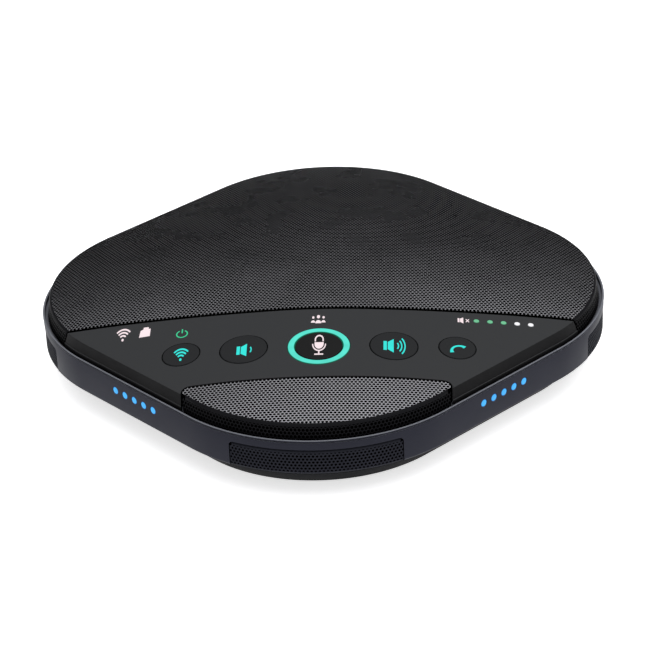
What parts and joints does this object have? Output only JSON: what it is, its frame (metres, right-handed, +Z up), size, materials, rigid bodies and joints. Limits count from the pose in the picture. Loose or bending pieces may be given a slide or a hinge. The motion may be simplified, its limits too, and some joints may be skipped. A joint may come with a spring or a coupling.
{
  "type": "conference speakerphone",
  "caption": "Low four-cornered table speakerphone with a domed perforated top, a sloping key panel with a lit ring, side lights and corner microphone grilles.",
  "frame": {"origin": "on the table, under the middle of the unit", "axes": "+Z up; -Y towards the user, on the key panel's side; corners on the X and Y axes"},
  "size_m": [0.2278, 0.2278, 0.0413],
  "materials": {
    "housing_satin": "satin blue-grey",
    "case_plastic": "fine matt texture",
    "grille_metal": "powder-coated perforated sheet",
    "mic_grille_metal": "powder-coated perforated sheet",
    "panel_plastic": "satin",
    "button_plastic": "satin",
    "ring_light": "lit diffuser",
    "blue_light": "lit diffuser",
    "status_light": "lit diffuser",
    "rubber": "moulded",
    "bare_steel": "zinc plated",
    "circuit_board": "solder mask",
    "cone_paper": "pressed fibre",
    "coil_copper": "enamelled wire",
    "battery_wrap": "heat-shrunk film"
  },
  "bodies": {
    "root": {"audio_socket": "case_plastic", "base_screw_back_left": "bare_steel", "base_screw_back_right": "bare_steel", "base_screw_front_left": "bare_steel", "base_screw_front_right": "bare_steel", "base_shell": "case_plastic", "battery_pack": "battery_wrap", "call_switch": "case_plastic", "chassis_plate": "case_plastic", "control_panel": "panel_plastic", "foot_back": "rubber", "foot_front": "rubber", "foot_left": "rubber", "foot_right": "rubber", "front_grille": "grille_metal", "front_speaker_basket": "bare_steel", "key_board": "circuit_board", "level_light_guide": "status_light", "light_guide_back_left": "blue_light", "light_guide_back_right": "blue_light", "light_guide_front_left": "blue_light", "light_guide_front_right": "blue_light", "main_board": "circuit_board", "mic_boot_back": "rubber", "mic_boot_front": "rubber", "mic_boot_left": "rubber", "mic_boot_right": "rubber", "mic_capsule_back": "bare_steel", "mic_capsule_front": "bare_steel", "mic_capsule_left": "bare_steel", "mic_capsule_right": "bare_steel", "mic_grille_back": "mic_grille_metal", "mic_grille_front": "mic_grille_metal", "mic_grille_left": "mic_grille_metal", "mic_grille_right": "mic_grille_metal", "mute_light_ring": "ring_light", "mute_switch": "case_plastic", "port_board": "circuit_board", "rear_grille": "grille_metal", "side_housing": "housing_satin", "speaker_basket": "bare_steel", "speaker_magnet": "bare_steel", "speaker_surround": "rubber", "status_light_guide": "status_light", "usb_socket": "bare_steel", "volume_down_switch": "case_plastic", "volume_up_switch": "case_plastic", "wireless_switch": "case_plastic"},
    "wireless_key": {"wireless_button": "button_plastic"},
    "volume_down_key": {"volume_down_button": "button_plastic"},
    "mute_key": {"mute_button": "button_plastic"},
    "volume_up_key": {"volume_up_button": "button_plastic"},
    "call_key": {"call_button": "button_plastic"},
    "speaker_cone_unit": {"speaker_cone": "cone_paper", "dust_cap": "cone_paper", "voice_coil": "coil_copper"},
    "front_cone_unit": {"front_speaker_cone": "cone_paper"}
  },
  "joints": [
    {"name": "wireless_press", "type": "slide", "parent": "root", "child": "wireless_key", "axis": [0, 0, -1], "range_m": [0, 0.0005], "stiffness_N_per_m": 1500},
    {"name": "volume_down_press", "type": "slide", "parent": "root", "child": "volume_down_key", "axis": [0, 0, -1], "range_m": [0, 0.0005], "stiffness_N_per_m": 1500},
    {"name": "mute_press", "type": "slide", "parent": "root", "child": "mute_key", "axis": [0, 0, -1], "range_m": [0, 0.0005], "stiffness_N_per_m": 1500},
    {"name": "volume_up_press", "type": "slide", "parent": "root", "child": "volume_up_key", "axis": [0, 0, -1], "range_m": [0, 0.0005], "stiffness_N_per_m": 1500},
    {"name": "call_press", "type": "slide", "parent": "root", "child": "call_key", "axis": [0, 0, -1], "range_m": [0, 0.0005], "stiffness_N_per_m": 1500},
    {"name": "speaker_cone_travel", "type": "slide", "parent": "root", "child": "speaker_cone_unit", "axis": [0, 0, 1], "range_m": [-0.0015, 0.0015], "stiffness_N_per_m": 2500},
    {"name": "front_cone_travel", "type": "slide", "parent": "root", "child": "front_cone_unit", "axis": [0, 0, 1], "range_m": [-0.0005, 0.0005], "stiffness_N_per_m": 1500}
  ]
}
